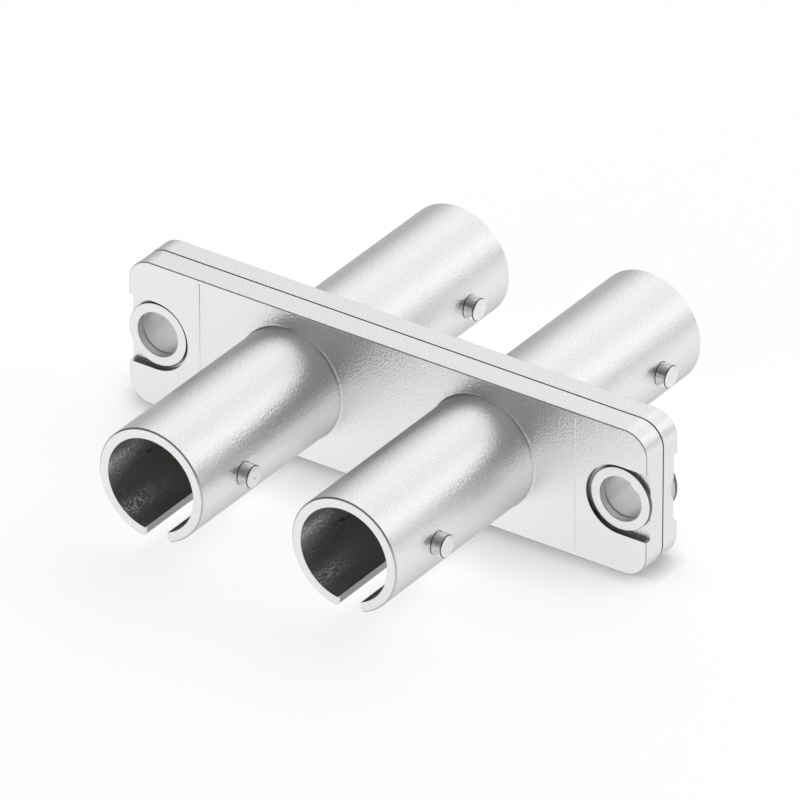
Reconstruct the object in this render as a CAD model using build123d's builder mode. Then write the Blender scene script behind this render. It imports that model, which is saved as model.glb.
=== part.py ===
# Duplex fibre optic adapter with four bayonet barrels on a rectangular flange.
# Two cast halves stand back to back and are held together by two tubular rivets.
# Frame: +X along the flange, +Y along the optical axes to the rear, +Z up.
# The origin is the centre of the seam between the two halves. Millimetres.

from build123d import *
from math import hypot
import os

os.makedirs("parts", exist_ok=True)

# Flange
flange_length = 34.2
flange_height = 9.0
flange_corner_r = 1.45
front_plate_thickness = 1.6
rear_plate_thickness = 1.4
outer_edge_break = 0.07
seam_edge_break = 0.05

# Barrels
channel_pitch = 12.7
barrel_reach = 14.7
barrel_od = 6.85
barrel_root_fillet = 0.12
mouth_edge_break = 0.08
socket_bore_d = 5.65
socket_depth = 8.2
relief_bore_d = 5.2
web_thickness = 1.6

# Keyway under each barrel, open at the mouth
key_width = 1.5
key_length = 5.6
key_offset = 0.35
key_corner_r = 0.35
key_lip_fillet = 0.2

# Bayonet lugs, pins pressed into the side walls of the barrels
lug_d = 1.34
lug_span = 8.3
lug_setback = 3.9
lug_dome = 0.07
lug_rim_break = 0.06
lug_seat_margin = 0.03

# Tubular rivets in pockets that are open to the ends of the flange
rivet_end_inset = 1.8
rivet_body_d = 3.1
rivet_bore_d = 2.58
rivet_mouth_d = 2.69
rivet_mouth_depth = 0.5
rivet_head_d = 3.85
rivet_head_thickness = 0.23
rivet_head_edge_r = 0.05
pocket_width = 4.26
pocket_depth = 0.38

# Split alignment sleeves for 2.5 mm ferrules
sleeve_bore_d = 2.5
sleeve_wall = 0.35
sleeve_length = 11.4
sleeve_slot = 0.5
sleeve_lead_in = 0.12

# Sleeve holders, one from each side, with their collars trapped at the seam
holder_wall = 0.5
holder_lip_thickness = 0.7
holder_lip_bore_d = 2.9
holder_lead_in = 0.3
collar_d = 5.5
collar_thickness = 0.6

# Clearances
press_gap = 0.02
sleeve_gap = 0.05

# Derived sizes
rivet_spacing = flange_length - 2 * rivet_end_inset
barrel_r = barrel_od / 2
socket_r = socket_bore_d / 2
lug_tip = lug_span / 2
sleeve_od = sleeve_bore_d + 2 * sleeve_wall
holder_bore_d = sleeve_od + 2 * sleeve_gap
holder_od = holder_bore_d + 2 * holder_wall
holder_stop = sleeve_length / 2 + sleeve_gap
holder_reach = holder_stop + holder_lip_thickness
cut_margin = 1.0

plate_thickness = {"front": front_plate_thickness, "rear": rear_plate_thickness}
channel_x = {"left": -channel_pitch / 2, "right": channel_pitch / 2}
rivet_x = {"left": -rivet_spacing / 2, "right": rivet_spacing / 2}

# Local frames of the halves: x along the flange, y up, z outward from the seam
seam_plane = {
    "front": Plane(origin=(0, 0, 0), x_dir=(1, 0, 0), z_dir=(0, -1, 0)),
    "rear": Plane(origin=(0, 0, 0), x_dir=(-1, 0, 0), z_dir=(0, 1, 0)),
}
# The same frames laid flat: x along the flange, y outward, z down
under_plane = {
    "front": Plane(origin=(0, 0, 0), x_dir=(1, 0, 0), z_dir=(0, 0, -1)),
    "rear": Plane(origin=(0, 0, 0), x_dir=(-1, 0, 0), z_dir=(0, 0, -1)),
}
outward = {"front": -1, "rear": 1}


def axis_distance(edge):
    """Distance of an edge's middle from the nearest barrel axis."""
    middle = edge.center()
    return min(hypot(middle.X - x, middle.Z) for x in channel_x.values())


def build_housing(side):
    """One cast half: flange plate, two barrels, their stepped bores and keyways."""
    seam = seam_plane[side]
    thickness = plate_thickness[side]
    face = seam.offset(thickness)
    mouth = seam.offset(barrel_reach)
    centres = [(x, 0) for x in channel_x.values()]

    with BuildPart() as housing:
        # Flange plate with its edges broken, a little more on the outer face
        with BuildSketch(seam):
            RectangleRounded(flange_length, flange_height, flange_corner_r)
        extrude(amount=thickness)
        broad_faces = housing.faces().filter_by(Axis.Y).sort_by(lambda f: abs(f.center().Y))
        chamfer(broad_faces[0].edges(), length=seam_edge_break)
        outer_face = housing.faces().filter_by(Axis.Y).sort_by(lambda f: abs(f.center().Y))[-1]
        fillet(outer_face.edges(), radius=outer_edge_break)

        # Barrels
        with BuildSketch(face):
            with Locations(*centres):
                Circle(barrel_r)
        extrude(amount=barrel_reach - thickness)
        circles = housing.edges().filter_by(GeomType.CIRCLE)
        barrel_circles = circles.filter_by(lambda e: abs(e.radius - barrel_r) < 1e-4)
        root_circles = barrel_circles.filter_by(lambda e: abs(e.center().Y) < thickness + 1e-4)
        fillet(root_circles, radius=barrel_root_fillet)
        circles = housing.edges().filter_by(GeomType.CIRCLE)
        mouth_circles = circles.filter_by(lambda e: abs(e.center().Y) > barrel_reach - 1e-4)
        chamfer(mouth_circles, length=mouth_edge_break)

        # Stepped bores: socket, relief round the holder, web and collar seat
        with BuildSketch(mouth):
            with Locations(*centres):
                Circle(socket_r)
        extrude(amount=-socket_depth, mode=Mode.SUBTRACT)
        with BuildSketch(seam.offset(collar_thickness + web_thickness)):
            with Locations(*centres):
                Circle(relief_bore_d / 2)
        extrude(amount=barrel_reach - socket_depth, mode=Mode.SUBTRACT)
        with BuildSketch(seam):
            with Locations(*centres):
                Circle(holder_od / 2 + press_gap)
        extrude(amount=collar_thickness + web_thickness + cut_margin, mode=Mode.SUBTRACT)
        with BuildSketch(seam):
            with Locations(*centres):
                Circle(collar_d / 2 + press_gap)
        extrude(amount=collar_thickness, mode=Mode.SUBTRACT)

        # Keyways, with rounded corners at their closed end
        slot_run = key_length + cut_margin
        with BuildSketch(under_plane[side]):
            for x in channel_x.values():
                with Locations((x + key_offset, barrel_reach - key_length + slot_run / 2)):
                    RectangleRounded(key_width, slot_run, key_corner_r)
        extrude(amount=barrel_r + cut_margin, mode=Mode.SUBTRACT)
        lips = housing.edges().filter_by(Axis.Y).filter_by(
            lambda e: abs(axis_distance(e) - barrel_r) < 0.01 and e.center().Z < -barrel_r / 2
        )
        fillet(lips, radius=key_lip_fillet)

        # Cross holes for the lugs
        for x in channel_x.values():
            with BuildSketch(Plane.YZ.offset(x)):
                with Locations((outward[side] * (barrel_reach - lug_setback), 0)):
                    Circle(lug_d / 2 + press_gap)
            extrude(amount=barrel_r + cut_margin, both=True, mode=Mode.SUBTRACT)

        # Pockets for the rivet heads, open to the ends of the flange, and rivet holes
        pocket_run = rivet_end_inset + cut_margin
        with BuildSketch(face):
            for end in (-1, 1):
                with Locations((end * rivet_spacing / 2, 0)):
                    Circle(pocket_width / 2)
                with Locations((end * (rivet_spacing + pocket_run) / 2, 0)):
                    Rectangle(pocket_run, pocket_width)
        extrude(amount=-pocket_depth, mode=Mode.SUBTRACT)
        with BuildSketch(seam):
            with GridLocations(rivet_spacing, 0, 2, 1):
                Circle(rivet_body_d / 2 + press_gap)
        extrude(amount=thickness, mode=Mode.SUBTRACT)
    return housing


def build_lug(side, channel, direction):
    """A pin with a crisp rim and a slightly domed end, seated in a barrel's wall."""
    centre = (channel_x[channel], outward[side] * (barrel_reach - lug_setback), 0)
    pin_plane = Plane(origin=centre, x_dir=(direction, 0, 0), z_dir=(0, 0, 1))
    seat = socket_r + lug_seat_margin
    rim = lug_tip - lug_dome
    with BuildPart() as lug:
        with BuildSketch(pin_plane):
            with BuildLine():
                Polyline(
                    (lug_tip, 0),
                    (seat, 0),
                    (seat, lug_d / 2),
                    (rim - lug_rim_break, lug_d / 2),
                    (rim, lug_d / 2 - lug_rim_break),
                )
                dome_half = lug_d / 2 - lug_rim_break
                dome_r = (dome_half**2 + lug_dome**2) / (2 * lug_dome)
                RadiusArc((rim, dome_half), (lug_tip, 0), dome_r)
            make_face()
        revolve(axis=Axis(centre, (direction, 0, 0)))
    return lug


def build_rivet(end):
    """A tubular rivet with a flat head at each side and a slightly wider mouth."""
    x = rivet_x[end]
    bore_r = rivet_bore_d / 2
    mouth_r = rivet_mouth_d / 2
    head_r = rivet_head_d / 2
    body_r = rivet_body_d / 2
    front_floor = -(front_plate_thickness - pocket_depth)
    rear_floor = rear_plate_thickness - pocket_depth
    front_end = front_floor - rivet_head_thickness
    rear_end = rear_floor + rivet_head_thickness
    with BuildPart() as rivet:
        with BuildSketch(Plane(origin=(x, 0, 0), x_dir=(1, 0, 0), z_dir=(0, 0, 1))) as section:
            with BuildLine():
                Polyline(
                    (bore_r, front_end + rivet_mouth_depth),
                    (mouth_r, front_end + rivet_mouth_depth),
                    (mouth_r, front_end),
                    (head_r, front_end),
                    (head_r, front_floor),
                    (body_r, front_floor),
                    (body_r, rear_floor),
                    (head_r, rear_floor),
                    (head_r, rear_end),
                    (mouth_r, rear_end),
                    (mouth_r, rear_end - rivet_mouth_depth),
                    (bore_r, rear_end - rivet_mouth_depth),
                    close=True,
                )
            make_face()
            ends = section.vertices().filter_by(
                lambda v: v.Y < front_end + 1e-4 or v.Y > rear_end - 1e-4
            )
            fillet(ends, radius=rivet_head_edge_r)
        revolve(axis=Axis((x, 0, 0), (0, 1, 0)))
    return rivet


def build_split_sleeve(channel):
    """A thin sleeve, slit along its top, that grips two ferrules end to end."""
    x = channel_x[channel]
    with BuildPart() as sleeve:
        with BuildSketch(Plane(origin=(x, -sleeve_length / 2, 0), x_dir=(1, 0, 0), z_dir=(0, 1, 0))):
            Circle(sleeve_od / 2)
            Circle(sleeve_bore_d / 2, mode=Mode.SUBTRACT)
        extrude(amount=sleeve_length)
        bore_ends = sleeve.edges().filter_by(GeomType.CIRCLE).filter_by(
            lambda e: abs(e.radius - sleeve_bore_d / 2) < 1e-4
        )
        chamfer(bore_ends, length=sleeve_lead_in)
        with BuildSketch(Plane.XY):
            with Locations((x, 0)):
                Rectangle(sleeve_slot, sleeve_length + cut_margin)
        extrude(amount=sleeve_od, mode=Mode.SUBTRACT)
    return sleeve


def build_holder(side, channel):
    """A turned tube round half of a sleeve, with a collar at the seam and an end lip."""
    x = channel_x[channel]
    bore_r = holder_bore_d / 2
    tube_r = holder_od / 2
    lip_r = holder_lip_bore_d / 2
    out = outward[side]
    with BuildPart() as holder:
        with BuildSketch(Plane(origin=(x, 0, 0), x_dir=(1, 0, 0), z_dir=(0, 0, 1))):
            with BuildLine():
                Polyline(
                    (bore_r, 0),
                    (collar_d / 2, 0),
                    (collar_d / 2, out * collar_thickness),
                    (tube_r, out * collar_thickness),
                    (tube_r, out * holder_reach),
                    (lip_r + holder_lead_in, out * holder_reach),
                    (lip_r, out * (holder_reach - holder_lead_in)),
                    (lip_r, out * holder_stop),
                    (bore_r, out * holder_stop),
                    close=True,
                )
            make_face()
        revolve(axis=Axis((x, 0, 0), (0, 1, 0)))
    return holder


def write(part, name):
    """Name a finished piece and write it to its own file."""
    part.part.label = name
    export_step(part.part, f"parts/{name}.step")


for side in ("front", "rear"):
    write(build_housing(side), f"{side}_housing")
    for channel in channel_x:
        write(build_holder(side, channel), f"sleeve_holder_{side}_{channel}")
        for place, direction in (("left", -1), ("right", 1)):
            lug = build_lug(side, channel, direction)
            write(lug, f"lug_{side}_{channel}_barrel_{place}")

for channel in channel_x:
    write(build_split_sleeve(channel), f"split_sleeve_{channel}")

for end in rivet_x:
    write(build_rivet(end), f"rivet_{end}")
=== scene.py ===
# Looks and studio for the duplex fibre optic adapter, in metres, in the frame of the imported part.
# The solids come from the frame. This file finishes their surfaces, adds the two witness lines on
# the front plate, and lays the floor, the light and the camera.

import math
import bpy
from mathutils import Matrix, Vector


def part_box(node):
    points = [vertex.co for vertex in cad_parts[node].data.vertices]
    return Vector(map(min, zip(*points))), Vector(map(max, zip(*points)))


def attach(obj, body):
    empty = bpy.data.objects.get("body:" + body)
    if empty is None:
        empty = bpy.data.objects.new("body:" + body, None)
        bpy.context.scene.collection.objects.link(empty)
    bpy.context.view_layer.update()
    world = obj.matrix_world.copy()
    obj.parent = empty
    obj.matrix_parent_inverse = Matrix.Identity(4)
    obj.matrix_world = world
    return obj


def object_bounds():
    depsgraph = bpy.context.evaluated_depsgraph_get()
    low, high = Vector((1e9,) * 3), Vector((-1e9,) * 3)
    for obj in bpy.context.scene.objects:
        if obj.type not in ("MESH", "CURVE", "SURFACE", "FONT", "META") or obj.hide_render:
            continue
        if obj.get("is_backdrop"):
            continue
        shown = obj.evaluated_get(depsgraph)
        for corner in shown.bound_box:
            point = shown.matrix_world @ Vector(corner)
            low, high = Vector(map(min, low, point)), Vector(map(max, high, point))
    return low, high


bl_info = {
    "name": "Duplex fibre optic adapter looks",
    "version": (1, 0, 0),
    "blender": (4, 5, 0),
    "location": "3D View > Sidebar > Adapter",
    "description": "Finishes the packed duplex fibre optic adapter and sets up its studio",
    "category": "Object",
}

import bmesh
import bpy
from bpy.props import FloatProperty, FloatVectorProperty, PointerProperty
from mathutils import Matrix, Vector

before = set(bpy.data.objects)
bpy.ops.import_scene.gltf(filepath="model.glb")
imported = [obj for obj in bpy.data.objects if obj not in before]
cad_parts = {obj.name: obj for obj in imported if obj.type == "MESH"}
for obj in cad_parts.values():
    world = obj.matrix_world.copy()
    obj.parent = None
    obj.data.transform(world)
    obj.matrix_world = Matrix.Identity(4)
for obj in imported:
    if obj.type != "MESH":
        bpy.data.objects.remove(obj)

MM = 0.001

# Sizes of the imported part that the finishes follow
BARREL_AXIS_X = 6.35 * MM
SOCKET_RADIUS = 2.825 * MM
BARREL_RADIUS = 3.425 * MM
ROOT_FILLET = 0.7 * MM
ROOT_LEVEL = 3 * MM
LUG_TIP = 4.15 * MM
LUG_HOLE_REACH = 1 * MM
KEYWAY_TOP_Z = -1.5 * MM
MOUTH_Y = 14.7 * MM
MOUTH_RIM = 0.3 * MM
FRONT_FACE_Y = -1.6 * MM
REAR_FACE_Y = 1.4 * MM
MIDDLE_Y = (FRONT_FACE_Y + REAR_FACE_Y) / 2
FACE_LEVEL = (REAR_FACE_Y - FRONT_FACE_Y) / 2
RIVET_AXIS_X = 15.3 * MM
RIVET_HEAD_RADIUS = 1.925 * MM
RIVET_MOUTH_RADIUS = 1.345 * MM
POCKET_RADIUS = 2.13 * MM
POCKET_DEPTH = 0.38 * MM
# How far past a surface its finish reaches, so that the facets of a curve are all inside
SKIN = 0.02 * MM

# Width of the strip at the foot of the pockets' walls that stays light, and how far the painted
# shade round a rivet's head reaches from the rivet's axis towards the flange's middle and towards
# its end
POCKET_FOOT = 0.1 * MM
POCKET_INWARD = 2.2 * MM
POCKET_OUTWARD = 1.6 * MM
# Painted highlight on the bores, in two streaks of bright grains: degrees round the axis from +X,
# the half widths in degrees of a streak's bright core and of the whole streak, and the depths from
# the mouth where the streaks start and end to fade
HIGHLIGHT_STREAKS_AT = (174, 232)
HIGHLIGHT_STREAK_CORE = 3
HIGHLIGHT_STREAK_EDGE = 13
HIGHLIGHT_STREAK_DEPTHS = (2 * MM, 4.5 * MM)
# The part of the grain that is painted bright as highlight, as levels of its noise
HIGHLIGHT_GRAIN = (0.5, 0.56)
# A broken edge is where the surface faces along Y by a share in this range
EDGE_FACING = (0.27, 0.93)
# How much of the seam's dark colour is painted as shade on the plates' and the mouths' broken edges
# and on the barrels' roots
PLATE_EDGE_SHADE = 0.6
MOUTH_EDGE_SHADE = 0.45
ROOT_SHADE = 0.22

# Roughness of the finishes. The bright grains of painted highlight scatter the light widely, to
# show in the dark bores
SATIN_ROUGHNESS = (0.29, 0.37)
DULL_ROUGHNESS = 0.38
HIGHLIGHT_FLECK_ROUGHNESS = 0.9
TURNED_DULL_ROUGHNESS = 0.5
PIN_ROUGHNESS = {"front": 0.27, "rear": 0.1}
RIVET_ROUGHNESS = 0.33
SLEEVE_ROUGHNESS = 0.3
PAPER_ROUGHNESS = 0.9
# Brightness of the dark side of the grain and of the turning marks, as a share of the metal's,
# and how far the marks change the roughness up and down
GRAIN_SHADE = 0.88
MARK_SHADE = 0.96
MARK_SPREAD = 0.15
# The castings' tint where they are seen at a flat angle
GRAZING_TINT = (0.55, 0.55, 0.55, 1)
# Most values of a noise texture lie in this range
NOISE_RANGE = (0.3, 0.7)

# The studio's light: the dim room, and soft boxes as azimuth from +X, elevation, width in degrees
# and strength: two large ones behind the adapter, a low one in front and one overhead
ROOM_LIGHT = 0.16
SOFT_BOXES = (
    (45, 27, 16, 1.35),
    (105, 27, 25, 1.5),
    (-90, 4, 20, 0.9),
    (0, 90, 20, 0.5),
)
FLOOR_REACH = 1.5
SHADE_SAMPLES = 16
# The close shade on the floor round the adapter: its share and how far it reaches
CLOSE_SHADE = 0.75
CLOSE_SHADE_REACH = 1.2 * MM
# The wider shade at the flange's foot: its share, how far it looks for the adapter, the distances
# from the seam where it starts and ends to fade, and the distance from the middle past which it
# fades sideways too
FOOT_SHADE = 0.62
FOOT_SHADE_REACH = 6 * MM
FOOT_SHADE_FADE = (1.5 * MM, 6.6 * MM)
FOOT_SHADE_END = 15 * MM


def linear(hex_colour):
    """An sRGB hex colour as linear red, green, blue and alpha."""
    channels = [int(hex_colour[i : i + 2], 16) / 255 for i in (0, 2, 4)]
    return [c / 12.92 if c <= 0.04045 else ((c + 0.055) / 1.055) ** 2.4 for c in channels] + [1.0]


def colour_property(name, description, hex_colour):
    """A colour that a user may change, with its default as a hex value."""
    return FloatVectorProperty(
        name=name,
        description=description,
        subtype="COLOR",
        size=4,
        min=0,
        max=1,
        default=linear(hex_colour),
    )


def length_property(name, description, millimetres):
    """A length that a user may change, with its default in millimetres."""
    return FloatProperty(
        name=name,
        description=description,
        unit="LENGTH",
        precision=5,
        min=0,
        default=millimetres * MM,
    )


def angle_property(name, description, degrees):
    """An angle that a user may change, with its default in degrees."""
    return FloatProperty(
        name=name, description=description, unit="ROTATION", default=math.radians(degrees)
    )


class AdapterColours(bpy.types.PropertyGroup):
    """Colours of the adapter's finishes and of its studio."""

    plating: colour_property("Plating", "Satin nickel on the castings", "F7F7F7")
    # Painted on the seam as a dark joint, and as painted shade on the broken edges and the barrels'
    # roots
    gap: colour_property("Gap", "Dark line where two pieces meet", "525252")
    # Painted shade on the walls of the rivets' pockets, beside the rivets' heads and on the
    # keyways' walls
    recess_shade: colour_property("Pocket", "Dark walls of the rivets' pockets and the keyways", "A2A2A2")
    # Painted shade: a darker wall inside the barrels
    bore: colour_property("Bore", "Dull wall inside the barrels", "D0D0D0")
    # Painted highlight: bright grains in two streaks along each bore
    bore_highlight_fleck: colour_property("Bore fleck", "Grains that a plug has rubbed bright", "FFFFFF")
    pin: colour_property("Lug pin", "Turned stainless steel", "E8E8E8")
    # Painted shade at the lug pins' feet and tips and on the rivets' heads' rims
    pin_and_rivet_edge_shade: colour_property("Lug pin's edge", "Dark line at the pin's foot and rim", "787878")
    rivet: colour_property("Rivet", "Nickel on the tubular rivets", "F1F1F1")
    # Painted shade: a darker wall inside the rivets
    rivet_bore_shade: colour_property("Rivet bore", "Dull wall inside the rivets", "D0D0D0")
    bronze: colour_property("Sleeve", "Phosphor bronze", "C2A283")
    holder: colour_property("Holder", "Nickel on turned brass", "C4C4C4")
    floor: colour_property("Floor", "White paper sweep", "B4B4B4")


class AdapterSizes(bpy.types.PropertyGroup):
    """Sizes of the surface detail that the looks add."""

    blast_grain: length_property("Blast grain", "Width of a dimple of the blasted surface", 0.125)
    blast_depth: length_property("Blast depth", "Depth of the dimples", 0.021)
    gap_width: length_property("Gap width", "Width of the dark line along the seam", 0.11)
    turning_feed: length_property("Turning feed", "Distance between two turning marks", 0.06)
    witness_offset: length_property("Witness offset", "Line from the flange's middle", 12.4)
    witness_width: length_property("Witness width", "Width of a witness line", 0.12)
    witness_height: length_property("Witness height", "Height of a line over the plate", 0.035)


class AdapterStudio(bpy.types.PropertyGroup):
    """Camera of the adapter's studio, and the glow of its floor."""

    azimuth: angle_property("Azimuth", "Camera to the right of the front", 34.63)
    elevation: angle_property("Elevation", "Camera above the floor", 30.84)
    distance: length_property("Distance", "Camera from the middle of the seam", 865)
    frame_width: length_property("Frame width", "Width of the picture at the seam", 43.568)
    aim_right: length_property("Aim right", "The seam's middle, right of the picture's", 0.115)
    aim_down: length_property("Aim down", "The seam's middle, below the picture's", 0.263)
    floor_glow: FloatProperty(
        name="Floor glow",
        description="Level that the camera and reflections see on top of the lit floor",
        default=0.755,
    )


def add_node(tree, kind, inputs=None, **settings):
    """Adds one node with its settings, and sets or links its inputs."""
    made = tree.nodes.new(kind)
    for name, value in settings.items():
        setattr(made, name, value)
    for socket, value in (inputs or {}).items():
        if isinstance(value, bpy.types.NodeSocket):
            tree.links.new(value, made.inputs[socket])
        else:
            made.inputs[socket].default_value = value
    return made


def new_material(name):
    """An empty node material, its tree, and the object coordinates in it."""
    material = bpy.data.materials.new(name)
    material.use_nodes = True
    tree = material.node_tree
    tree.nodes.clear()
    place = add_node(tree, "ShaderNodeTexCoord").outputs["Object"]
    return material, tree, place


def finish_surface(tree, shader):
    """Links a shader to the material's output."""
    add_node(tree, "ShaderNodeOutputMaterial", {"Surface": shader.outputs["BSDF"]})


def put_on(start_of_name, material):
    """Gives a material to the CAD nodes whose names start so, through their slots."""
    for name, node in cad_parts.items():
        if name.startswith(start_of_name):
            for slot in node.material_slots:
                slot.material = material


def make_object(name, shape, material):
    """Turns a finished bmesh into an object in the scene."""
    mesh = bpy.data.meshes.new(name)
    shape.to_mesh(mesh)
    shape.free()
    mesh.materials.append(material)
    made = bpy.data.objects.new(name, mesh)
    bpy.context.scene.collection.objects.link(made)
    return made


def distance_from_axes(tree, place, axis_x):
    """How far a point is from the nearer of two axes along Y, one at each side of the middle."""
    parts = add_node(tree, "ShaderNodeSeparateXYZ", {0: place}).outputs
    across = add_node(tree, "ShaderNodeMath", {0: parts["X"]}, operation="ABSOLUTE").outputs[0]
    beside = add_node(
        tree, "ShaderNodeMath", {0: across, 1: axis_x}, operation="SUBTRACT"
    ).outputs[0]
    around = add_node(tree, "ShaderNodeCombineXYZ", {"X": beside, "Y": parts["Z"]}).outputs[0]
    radius = add_node(
        tree, "ShaderNodeVectorMath", {0: around}, operation="LENGTH"
    ).outputs["Value"]
    return radius, across, beside, parts


def within(tree, *ranges):
    """1 where every measure lies between its two limits, else 0."""
    inside = None
    for measure, nearest, furthest in ranges:
        band = add_node(
            tree,
            "ShaderNodeMath",
            {0: measure, 1: (nearest + furthest) / 2, 2: (furthest - nearest) / 2},
            operation="COMPARE",
        ).outputs[0]
        if inside is not None:
            band = add_node(
                tree, "ShaderNodeMath", {0: inside, 1: band}, operation="MULTIPLY"
            ).outputs[0]
        inside = band
    return inside


def pocket_painted_shade(tree, place, level):
    """1 where shade is painted: on the wall of each of the rivets' pockets and on the floor beside
    the rivet's head, else 0. The foot of the wall is left out, because it catches the light."""
    _, across, beside, parts = distance_from_axes(tree, place, RIVET_AXIS_X)
    inward = add_node(tree, "ShaderNodeMath", {0: beside, 1: 0.0}, operation="MINIMUM").outputs[0]
    offset = add_node(tree, "ShaderNodeCombineXYZ", {"X": inward, "Y": parts["Z"]}).outputs[0]
    reach = add_node(
        tree, "ShaderNodeVectorMath", {0: offset}, operation="LENGTH"
    ).outputs["Value"]
    depth = (level, FACE_LEVEL - POCKET_DEPTH - SKIN, FACE_LEVEL - SKIN)
    length = (across, RIVET_AXIS_X - POCKET_INWARD, RIVET_AXIS_X + POCKET_OUTWARD)
    gap = (reach, RIVET_HEAD_RADIUS, POCKET_RADIUS + POCKET_FOOT)
    foot = (reach, POCKET_RADIUS - POCKET_FOOT, POCKET_RADIUS - SKIN)
    return add_node(
        tree,
        "ShaderNodeMath",
        {0: within(tree, gap, depth, length), 1: within(tree, foot, depth, length)},
        operation="SUBTRACT",
    ).outputs[0]


def painted_bore_highlight(tree, parts, beside, level):
    """Where a bore's wall gets painted highlight: streaks that fade away from the mouth."""
    side = add_node(tree, "ShaderNodeMath", {0: parts["X"]}, operation="SIGN").outputs[0]
    beside = add_node(
        tree, "ShaderNodeMath", {0: beside, 1: side}, operation="MULTIPLY"
    ).outputs[0]
    around = add_node(tree, "ShaderNodeCombineXYZ", {"X": beside, "Z": parts["Z"]}).outputs[0]
    around = add_node(tree, "ShaderNodeVectorMath", {0: around}, operation="NORMALIZE").outputs[0]
    highlight_streaks = 0.0
    for angle in HIGHLIGHT_STREAKS_AT:
        towards = (math.cos(math.radians(angle)), 0, math.sin(math.radians(angle)))
        facing = add_node(
            tree, "ShaderNodeVectorMath", {0: around, 1: towards}, operation="DOT_PRODUCT"
        ).outputs["Value"]
        streak = add_node(
            tree,
            "ShaderNodeMapRange",
            {
                "Value": facing,
                "From Min": math.cos(math.radians(HIGHLIGHT_STREAK_EDGE)),
                "From Max": math.cos(math.radians(HIGHLIGHT_STREAK_CORE)),
            },
        ).outputs[0]
        highlight_streaks = add_node(
            tree, "ShaderNodeMath", {0: streak, 1: highlight_streaks}, operation="MAXIMUM"
        ).outputs[0]
    start, end = HIGHLIGHT_STREAK_DEPTHS
    fading = add_node(
        tree,
        "ShaderNodeMapRange",
        {"Value": level, "From Min": MOUTH_Y - end, "From Max": MOUTH_Y - start},
    ).outputs[0]
    return add_node(
        tree, "ShaderNodeMath", {0: highlight_streaks, 1: fading}, operation="MULTIPLY"
    ).outputs[0]


def painted_edge_shade(tree, place, radius, level):
    """How much painted shade the castings' broken edges and the barrels' roots take: most on the
    plates, least at the roots.
    """
    normal = place.node.outputs["Normal"]
    facing = add_node(tree, "ShaderNodeSeparateXYZ", {0: normal}).outputs["Y"]
    facing = add_node(tree, "ShaderNodeMath", {0: facing}, operation="ABSOLUTE").outputs[0]
    just_proud = FACE_LEVEL + 0.001 * MM
    plate = [(level, 0, just_proud)]
    mouth = [(level, MOUTH_Y - MOUTH_RIM, MOUTH_Y + MOUTH_RIM)]
    fillet = (radius, BARREL_RADIUS, BARREL_RADIUS + ROOT_FILLET)
    root = [(level, just_proud, ROOT_LEVEL), fillet]
    dark = 0.0
    for share, ranges in ((PLATE_EDGE_SHADE, plate), (MOUTH_EDGE_SHADE, mouth), (ROOT_SHADE, root)):
        dark = add_node(
            tree,
            "ShaderNodeMath",
            {0: within(tree, (facing, *EDGE_FACING), *ranges), 1: share, 2: dark},
            operation="MULTIPLY_ADD",
        ).outputs[0]
    return dark


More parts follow.
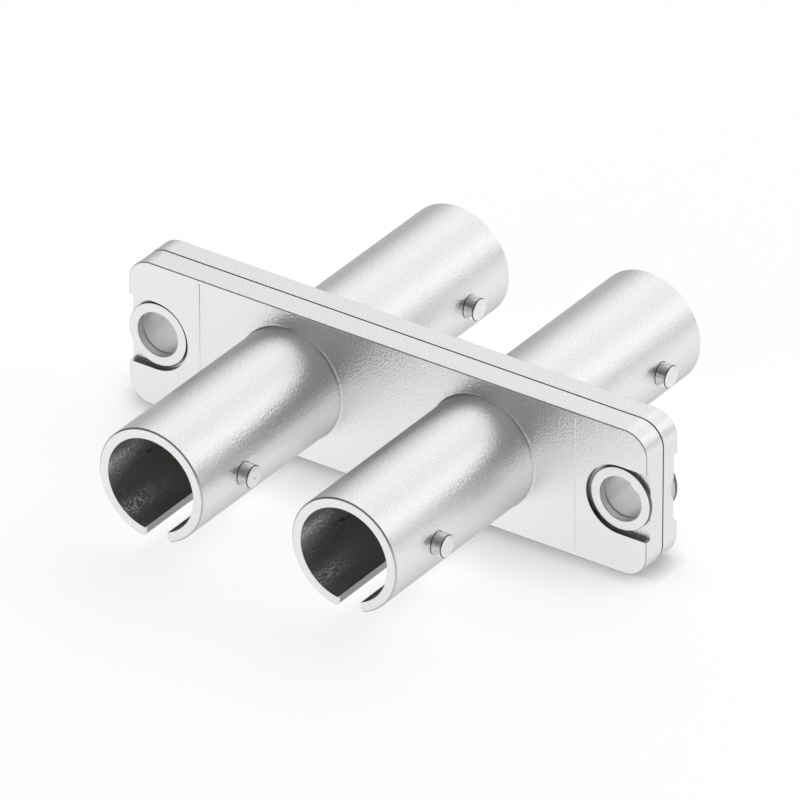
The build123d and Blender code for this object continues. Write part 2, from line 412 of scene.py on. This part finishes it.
def satin_nickel_casting(colours, sizes):
    """Zinc die casting, bead blasted and nickel plated: a soft metal sheen with a fine grain. The
    bores and the keyways' walls are duller, with painted shade, and the bores carry streaks of
    painted highlight. The seam is a dark joint. The pockets' walls, the floor beside the rivets'
    heads, the broken edges and the barrels' roots take painted shade."""
    material, tree, place = new_material("satin_nickel_plated_zinc_casting")
    radius, _, beside, parts = distance_from_axes(tree, place, BARREL_AXIS_X)
    from_middle = add_node(
        tree, "ShaderNodeMath", {0: parts["Y"], 1: MIDDLE_Y}, operation="SUBTRACT"
    ).outputs[0]
    level = add_node(tree, "ShaderNodeMath", {0: from_middle}, operation="ABSOLUTE").outputs[0]

    # The bores with the lugs' holes in their walls, and the keyways' walls
    wall = (radius, SOCKET_RADIUS + SKIN / 2, BARREL_RADIUS - SKIN)
    length = (level, FACE_LEVEL, MOUTH_Y - MOUTH_RIM)
    keyway = within(tree, wall, length, (parts["Z"], -BARREL_RADIUS, KEYWAY_TOP_Z))
    lug_hole = within(tree, wall, length, (parts["Z"], -LUG_HOLE_REACH, LUG_HOLE_REACH))
    bore = within(tree, (radius, 0, SOCKET_RADIUS + SKIN / 2))
    bore = add_node(
        tree, "ShaderNodeMath", {0: bore, 1: lug_hole}, operation="MAXIMUM"
    ).outputs[0]

    # The real grain is a few hundredths of a millimetre wide, too fine to show. It is drawn
    # coarser and deeper
    grain = add_node(
        tree,
        "ShaderNodeTexNoise",
        {"Vector": place, "Scale": 1 / sizes.blast_grain, "Detail": 1.5, "Roughness": 0.5},
    ).outputs["Fac"]
    shaded = [GRAIN_SHADE * c for c in colours.plating[:3]] + [1]
    colour = add_node(
        tree, "ShaderNodeMix", {0: grain, 6: shaded, 7: list(colours.plating)}, data_type="RGBA"
    ).outputs[2]
    lowest, highest = HIGHLIGHT_GRAIN
    highlight_flecks = add_node(
        tree, "ShaderNodeMapRange", {"Value": grain, "From Min": lowest, "From Max": highest}
    ).outputs[0]
    for limit in (painted_bore_highlight(tree, parts, beside, level), bore):
        highlight_flecks = add_node(
            tree, "ShaderNodeMath", {0: highlight_flecks, 1: limit}, operation="MULTIPLY"
        ).outputs[0]

    seam = within(tree, (parts["Y"], -sizes.gap_width / 2, sizes.gap_width / 2))
    # Painted shade on the broken edges and the barrels' roots
    edges = painted_edge_shade(tree, place, radius, level)
    dark = add_node(tree, "ShaderNodeMath", {0: seam, 1: edges}, operation="MAXIMUM").outputs[0]
    for share, finish in (
        # Painted shade: the bores a little darker
        (bore, colours.bore),
        # Painted highlight: bright grains in streaks along the bores
        (highlight_flecks, colours.bore_highlight_fleck),
        # Painted shade on the keyways' walls
        (keyway, colours.recess_shade),
        # Painted shade on the pockets' walls and on the floor beside the rivets' heads
        (pocket_painted_shade(tree, place, level), colours.recess_shade),
        # The seam's dark joint, with painted shade on the broken edges and the barrels' roots
        (dark, colours.gap),
    ):
        colour = add_node(
            tree, "ShaderNodeMix", {0: share, 6: colour, 7: list(finish)}, data_type="RGBA"
        ).outputs[2]

    smoothest, roughest = SATIN_ROUGHNESS
    lowest, highest = NOISE_RANGE
    roughness = add_node(
        tree,
        "ShaderNodeMapRange",
        {
            "Value": grain,
            "From Min": lowest,
            "From Max": highest,
            "To Min": smoothest,
            "To Max": roughest,
        },
    ).outputs[0]
    dull = add_node(tree, "ShaderNodeMath", {0: bore, 1: keyway}, operation="MAXIMUM").outputs[0]
    dull = add_node(tree, "ShaderNodeMath", {0: dark, 1: dull}, operation="MAXIMUM").outputs[0]
    for share, finish in ((dull, DULL_ROUGHNESS), (highlight_flecks, HIGHLIGHT_FLECK_ROUGHNESS)):
        roughness = add_node(
            tree, "ShaderNodeMix", {0: share, 2: roughness, 3: finish}
        ).outputs[0]

    # The grain is twice as deep in the bores, which the blasting doesn't smooth
    relief = add_node(tree, "ShaderNodeMath", {0: bore, 1: 1.0}, operation="ADD").outputs[0]
    height = add_node(
        tree, "ShaderNodeMath", {0: grain, 1: relief}, operation="MULTIPLY"
    ).outputs[0]
    bump = add_node(
        tree, "ShaderNodeBump", {"Height": height, "Strength": 1.0, "Distance": sizes.blast_depth}
    ).outputs[0]
    shader = add_node(
        tree,
        "ShaderNodeBsdfPrincipled",
        {
            "Base Color": colour,
            "Metallic": 1.0,
            "Roughness": roughness,
            "Specular Tint": GRAZING_TINT,
            "Normal": bump,
        },
    )
    finish_surface(tree, shader)
    return material


def turned_metal(name, colour, roughness, feed, axis, axis_x=0.0, dull_shade_zones=()):
    """Metal turned on a lathe: fine marks round the axis and a bright, slightly streaked sheen.
    Each dull zone, given as a measure with its two limits and a colour, is made dull and takes
    that colour as painted shade."""
    material, tree, place = new_material(name)
    mark_length = 0.6 * MM
    mark_depth = 0.002 * MM
    scale = [1 / mark_length] * 3
    scale["XYZ".index(axis)] = 1 / feed
    stretched = add_node(tree, "ShaderNodeMapping", {"Vector": place, "Scale": scale}).outputs[0]
    marks = add_node(
        tree, "ShaderNodeTexNoise", {"Vector": stretched, "Scale": 1.0, "Detail": 2.0}
    ).outputs["Fac"]
    shaded = [MARK_SHADE * c for c in colour[:3]] + [1]
    tint = add_node(
        tree, "ShaderNodeMix", {0: marks, 6: shaded, 7: list(colour)}, data_type="RGBA"
    ).outputs[2]
    lowest, highest = NOISE_RANGE
    sheen = add_node(
        tree,
        "ShaderNodeMapRange",
        {
            "Value": marks,
            "From Min": lowest,
            "From Max": highest,
            "To Min": roughness * (1 - MARK_SPREAD),
            "To Max": roughness * (1 + MARK_SPREAD),
        },
    ).outputs[0]
    radius, _, beside, _ = distance_from_axes(tree, place, axis_x)
    beside = add_node(tree, "ShaderNodeMath", {0: beside}, operation="ABSOLUTE").outputs[0]
    measures = {"around": radius, "beside": beside}
    for measure, nearest, furthest, shade_colour in dull_shade_zones:
        where = within(tree, (measures[measure], nearest, furthest))
        tint = add_node(
            tree, "ShaderNodeMix", {0: where, 6: tint, 7: list(shade_colour)}, data_type="RGBA"
        ).outputs[2]
        sheen = add_node(
            tree, "ShaderNodeMix", {0: where, 2: sheen, 3: TURNED_DULL_ROUGHNESS}
        ).outputs[0]
    bump = add_node(
        tree, "ShaderNodeBump", {"Height": marks, "Strength": 0.1, "Distance": mark_depth}
    ).outputs[0]
    shader = add_node(
        tree,
        "ShaderNodeBsdfPrincipled",
        {"Base Color": tint, "Metallic": 1.0, "Roughness": sheen, "Normal": bump},
    )
    finish_surface(tree, shader)
    return material


def floor_shade(tree, place):
    """The share of the floor's glow that the shade round the adapter leaves."""
    close, wide = (
        add_node(
            tree, "ShaderNodeAmbientOcclusion", {"Distance": reach}, samples=SHADE_SAMPLES
        ).outputs["AO"]
        for reach in (CLOSE_SHADE_REACH, FOOT_SHADE_REACH)
    )
    parts = add_node(tree, "ShaderNodeSeparateXYZ", {0: place}).outputs
    across, along = (
        add_node(tree, "ShaderNodeMath", {0: parts[axis]}, operation="ABSOLUTE").outputs[0]
        for axis in "XY"
    )
    past_end = add_node(
        tree, "ShaderNodeMath", {0: across, 1: FOOT_SHADE_END}, operation="SUBTRACT"
    ).outputs[0]
    past_end = add_node(
        tree, "ShaderNodeMath", {0: past_end, 1: 0.0}, operation="MAXIMUM"
    ).outputs[0]
    away = add_node(tree, "ShaderNodeMath", {0: along, 1: past_end}, operation="ADD").outputs[0]
    start, end = FOOT_SHADE_FADE
    foot = add_node(
        tree,
        "ShaderNodeMapRange",
        {"Value": away, "From Min": start, "From Max": end, "To Min": FOOT_SHADE, "To Max": 0.0},
    ).outputs[0]
    close = add_node(tree, "ShaderNodeMix", {0: CLOSE_SHADE, 2: 1.0, 3: close}).outputs[0]
    wide = add_node(tree, "ShaderNodeMix", {0: foot, 2: 1.0, 3: wide}).outputs[0]
    return add_node(tree, "ShaderNodeMath", {0: close, 1: wide}, operation="MULTIPLY").outputs[0]


def white_paper(colour, floor_glow):
    """Matt white paper: lit by the soft boxes, it takes the adapter's shadow, and its glow lifts
    it to the white that the camera sees."""
    material, tree, place = new_material("white_paper_sweep")
    path = add_node(tree, "ShaderNodeLightPath").outputs
    # The shade is drawn for the camera alone: metal reflects the plain floor
    seen = add_node(
        tree,
        "ShaderNodeMath",
        {0: path["Is Camera Ray"], 1: floor_shade(tree, place)},
        operation="MULTIPLY",
    ).outputs[0]
    for kind in ("Is Glossy Ray", "Is Transmission Ray"):
        seen = add_node(
            tree, "ShaderNodeMath", {0: path[kind], 1: seen}, operation="MAXIMUM"
        ).outputs[0]
    glow = add_node(
        tree, "ShaderNodeMath", {0: seen, 1: floor_glow}, operation="MULTIPLY"
    ).outputs[0]
    shader = add_node(
        tree,
        "ShaderNodeBsdfPrincipled",
        {
            "Base Color": list(colour),
            "Roughness": PAPER_ROUGHNESS,
            "Emission Color": (1, 1, 1, 1),
            "Emission Strength": glow,
        },
    )
    finish_surface(tree, shader)
    return material


def light_room(world):
    """Lights the world with the dim room and the soft boxes, each a spot that fades outwards."""
    world.use_nodes = True
    tree = world.node_tree
    tree.nodes.clear()
    ray = add_node(tree, "ShaderNodeTexCoord").outputs["Generated"]
    light = ROOM_LIGHT
    for azimuth, elevation, width, strength in SOFT_BOXES:
        towards = (
            math.cos(math.radians(elevation)) * math.cos(math.radians(azimuth)),
            math.cos(math.radians(elevation)) * math.sin(math.radians(azimuth)),
            math.sin(math.radians(elevation)),
        )
        facing = add_node(
            tree, "ShaderNodeVectorMath", {0: ray, 1: towards}, operation="DOT_PRODUCT"
        ).outputs["Value"]
        sharpness = 1 / math.radians(width) ** 2
        falloff = add_node(
            tree,
            "ShaderNodeMath",
            {0: facing, 1: sharpness, 2: -sharpness},
            operation="MULTIPLY_ADD",
        ).outputs[0]
        glow = add_node(tree, "ShaderNodeMath", {0: falloff}, operation="EXPONENT").outputs[0]
        light = add_node(
            tree, "ShaderNodeMath", {0: glow, 1: strength, 2: light}, operation="MULTIPLY_ADD"
        ).outputs[0]
    background = add_node(tree, "ShaderNodeBackground", {"Strength": light})
    add_node(tree, "ShaderNodeOutputWorld", {"Surface": background.outputs[0]})


def place_camera(scene):
    """Places the camera by the studio's angles and lengths."""
    studio = scene.adapter_studio
    back = Vector(
        (
            math.sin(studio.azimuth) * math.cos(studio.elevation),
            -math.cos(studio.azimuth) * math.cos(studio.elevation),
            math.sin(studio.elevation),
        )
    )
    turned = back.to_track_quat("Z", "Y")
    right = turned @ Vector((1, 0, 0))
    up = turned @ Vector((0, 1, 0))
    lens = bpy.data.cameras.new("camera")
    lens.sensor_width = 36
    lens.lens = lens.sensor_width * studio.distance / studio.frame_width
    camera = bpy.data.objects.new("camera", lens)
    camera.location = back * studio.distance - right * studio.aim_right + up * studio.aim_down
    camera.rotation_euler = turned.to_euler()
    scene.collection.objects.link(camera)
    scene.camera = camera


class ADAPTER_OT_castings(bpy.types.Operator):
    """Finish the two cast halves and add their witness lines"""

    bl_idname = "adapter.castings"
    bl_label = "Castings"

    def execute(self, context):
        sizes = context.scene.adapter_sizes
        material = satin_nickel_casting(context.scene.adapter_colours, sizes)
        for housing in ("front_housing", "rear_housing"):
            put_on(housing, material)
        lowest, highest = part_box("front_housing")
        length = 0.94 * (highest.z - lowest.z)
        for channel, direction in (("left", -1), ("right", 1)):
            line = bmesh.new()
            bmesh.ops.create_cube(
                line,
                size=1.0,
                matrix=Matrix.Translation((direction * sizes.witness_offset, FRONT_FACE_Y, 0))
                @ Matrix.Diagonal((sizes.witness_width, 2 * sizes.witness_height, length, 1)),
            )
            crests = [e for e in line.edges if all(v.co.y < FRONT_FACE_Y for v in e.verts)]
            bmesh.ops.bevel(
                line,
                geom=crests,
                affect="EDGES",
                offset=0.8 * sizes.witness_height,
                segments=2,
                profile=0.5,
                material=-1,
            )
            piece = make_object(f"witness_line_{channel}", line, material)
            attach(piece, "root")
        return {"FINISHED"}


class ADAPTER_OT_lugs(bpy.types.Operator):
    """Finish the eight bayonet lugs"""

    bl_idname = "adapter.lugs"
    bl_label = "Bayonet lugs"

    def execute(self, context):
        colours = context.scene.adapter_colours
        feed = context.scene.adapter_sizes.turning_feed
        wall = BARREL_RADIUS - 0.3 * MM
        # Painted shade: the inner end in the bore takes the bore's colour, and the foot in the wall
        # and the rim of the tip a dark line
        dull_shade_zones = (
            ("around", SOCKET_RADIUS, wall, colours.bore),
            ("around", wall, BARREL_RADIUS + 0.04 * MM, colours.pin_and_rivet_edge_shade),
            ("beside", LUG_TIP - 0.14 * MM, LUG_TIP - 0.08 * MM, colours.pin_and_rivet_edge_shade),
        )
        # Turned stainless steel, bright in front and nearly polished behind
        for side, roughness in PIN_ROUGHNESS.items():
            name = f"turned_steel_pin_{side}"
            material = turned_metal(
                name, colours.pin, roughness, feed, "X", BARREL_AXIS_X, dull_shade_zones
            )
            put_on(f"lug_{side}", material)
        return {"FINISHED"}


class ADAPTER_OT_rivets(bpy.types.Operator):
    """Finish the two tubular rivets"""

    bl_idname = "adapter.rivets"
    bl_label = "Rivets"

    def execute(self, context):
        colours = context.scene.adapter_colours
        feed = context.scene.adapter_sizes.turning_feed
        rim = RIVET_HEAD_RADIUS - 0.03 * MM
        # Painted shade in the bore and on the rim of the head
        dull_shade_zones = (
            ("around", 0, RIVET_MOUTH_RADIUS + SKIN, colours.rivet_bore_shade),
            ("around", rim, RIVET_HEAD_RADIUS + SKIN, colours.pin_and_rivet_edge_shade),
        )
        # Nickel plating on brass: a bright ring, with painted shade in the dull bore
        material = turned_metal(
            "nickel_plated_rivet",
            colours.rivet,
            RIVET_ROUGHNESS,
            feed,
            "Y",
            RIVET_AXIS_X,
            dull_shade_zones,
        )
        put_on("rivet_", material)
        return {"FINISHED"}


class ADAPTER_OT_sleeves(bpy.types.Operator):
    """Finish the split sleeves and their holders"""

    bl_idname = "adapter.sleeves"
    bl_label = "Sleeves and holders"

    def execute(self, context):
        colours = context.scene.adapter_colours
        feed = context.scene.adapter_sizes.turning_feed
        # Warm, dark bronze in pale nickel: both are seen only deep inside the bores
        for start_of_name, name, colour in (
            ("split_sleeve", "rolled_phosphor_bronze", colours.bronze),
            ("sleeve_holder", "nickel_plated_turned_brass", colours.holder),
        ):
            put_on(start_of_name, turned_metal(name, colour, SLEEVE_ROUGHNESS, feed, "Y"))
        return {"FINISHED"}


class ADAPTER_OT_stage(bpy.types.Operator):
    """Lay the white floor, light the studio and place the camera"""

    bl_idname = "adapter.stage"
    bl_label = "Studio"

    def execute(self, context):
        scene = context.scene
        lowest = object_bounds()[0]
        sheet = bmesh.new()
        bmesh.ops.create_grid(
            sheet,
            x_segments=8,
            y_segments=8,
            size=FLOOR_REACH,
            matrix=Matrix.Translation((0, 0, lowest[2])),
        )
        paper = white_paper(scene.adapter_colours.floor, scene.adapter_studio.floor_glow)
        floor = make_object("paper_floor", sheet, paper)
        floor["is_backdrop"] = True
        scene.world = bpy.data.worlds.new("studio")
        light_room(scene.world)
        place_camera(scene)
        scene.view_settings.view_transform = "Standard"
        return {"FINISHED"}


class ADAPTER_PT_panel(bpy.types.Panel):
    """The adapter's sizes, colours and steps"""

    bl_label = "Duplex adapter"
    bl_idname = "ADAPTER_PT_panel"
    bl_space_type = "VIEW_3D"
    bl_region_type = "UI"
    bl_category = "Adapter"

    def draw(self, context):
        for group_name, group in GROUPS.items():
            for name in group.__annotations__:
                self.layout.prop(getattr(context.scene, group_name), name)
        for step in STEPS:
            self.layout.operator(step.bl_idname)


STEPS = (
    ADAPTER_OT_castings,
    ADAPTER_OT_lugs,
    ADAPTER_OT_rivets,
    ADAPTER_OT_sleeves,
    ADAPTER_OT_stage,
)
GROUPS = {
    "adapter_colours": AdapterColours,
    "adapter_sizes": AdapterSizes,
    "adapter_studio": AdapterStudio,
}


def register():
    """Registers the property groups, the steps and the panel."""
    for name, group in GROUPS.items():
        bpy.utils.register_class(group)
        setattr(bpy.types.Scene, name, PointerProperty(type=group))
    for made in (*STEPS, ADAPTER_PT_panel):
        bpy.utils.register_class(made)


def unregister():
    """Takes back what register() added."""
    for made in (ADAPTER_PT_panel, *reversed(STEPS)):
        bpy.utils.unregister_class(made)
    for name, group in reversed(GROUPS.items()):
        delattr(bpy.types.Scene, name)
        bpy.utils.unregister_class(group)


def main():
    """Runs every step."""
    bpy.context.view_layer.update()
    register()
    bpy.ops.adapter.castings()
    bpy.ops.adapter.lugs()
    bpy.ops.adapter.rivets()
    bpy.ops.adapter.sleeves()
    bpy.ops.adapter.stage()


if __name__ == "__main__":
    main()
